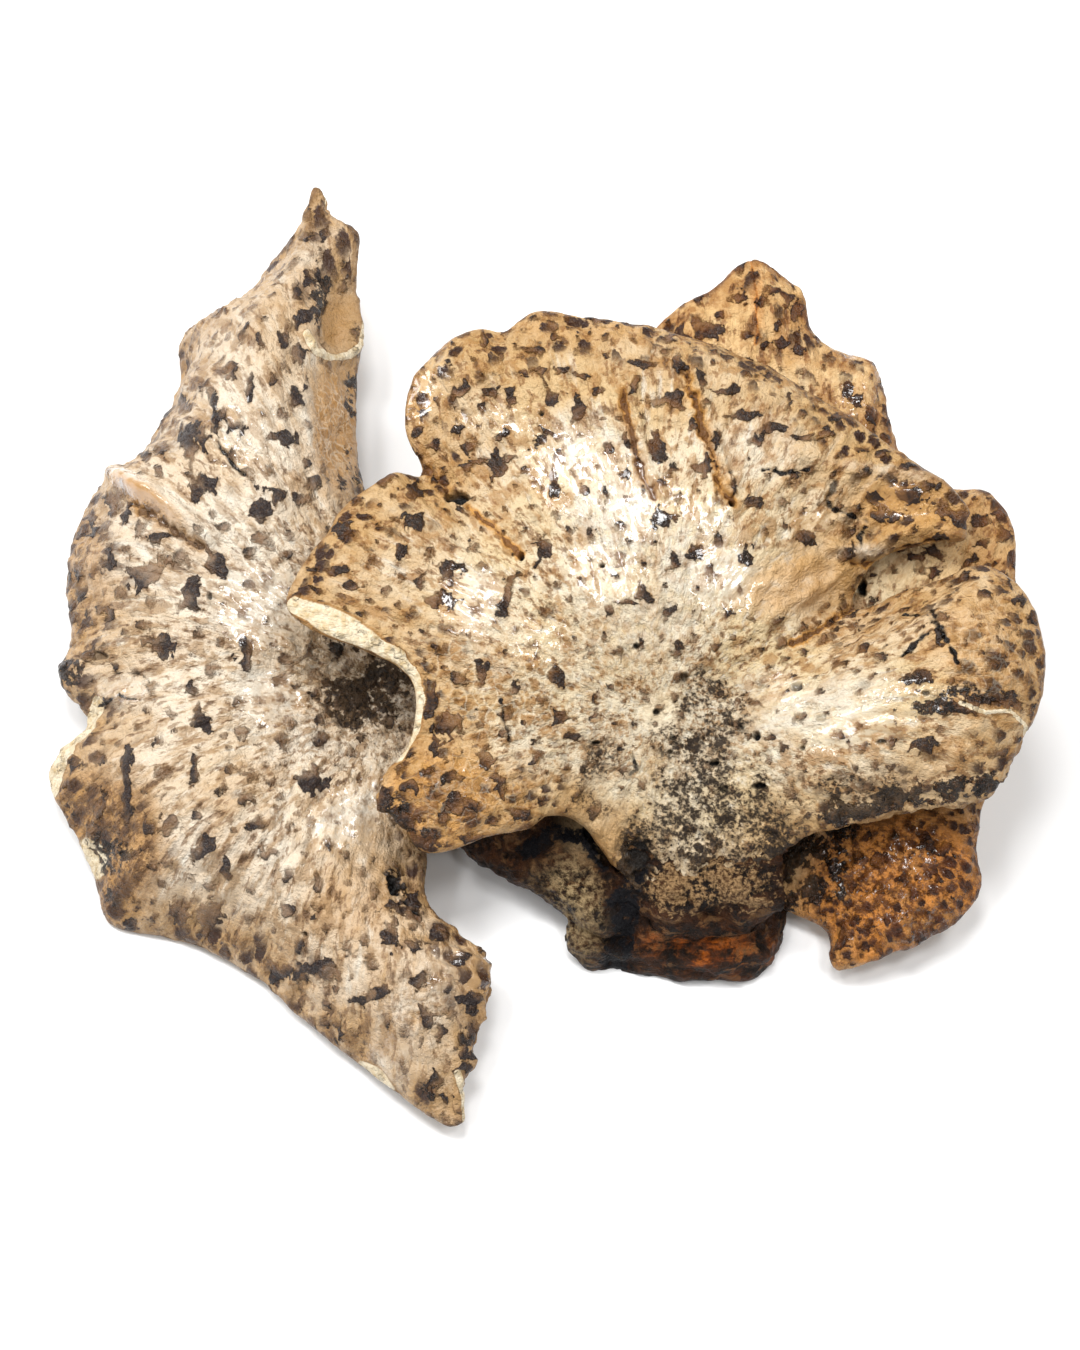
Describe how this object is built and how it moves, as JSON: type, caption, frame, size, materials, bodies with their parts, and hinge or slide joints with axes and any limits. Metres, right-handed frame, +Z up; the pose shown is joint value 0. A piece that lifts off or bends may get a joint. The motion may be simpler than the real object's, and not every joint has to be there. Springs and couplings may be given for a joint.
{
  "type": "bracket fungus",
  "caption": "Dried, varnished bracket fungus: wavy spotted caps fork from one stout stem that is cut off flat and stands on its cut.",
  "frame": {"origin": "centre of the flat cut under the stem", "axes": "+Z up from the cut, -Y towards the stem's open front, -X towards the low cap on the left"},
  "size_m": [0.3348, 0.3401, 0.0884],
  "materials": {
    "stem_bark": "dark, rough, torn at the cut",
    "main_skin": "varnished, cream with brown scales",
    "left_skin": "varnished, cream with brown scales",
    "lower_skin": "varnished, orange-tan to dark brown"
  },
  "bodies": {
    "root": {"stem": "stem_bark", "main_cap": "main_skin", "left_cap": "left_skin", "lower_cap": "lower_skin"}
  },
  "joints": []
}
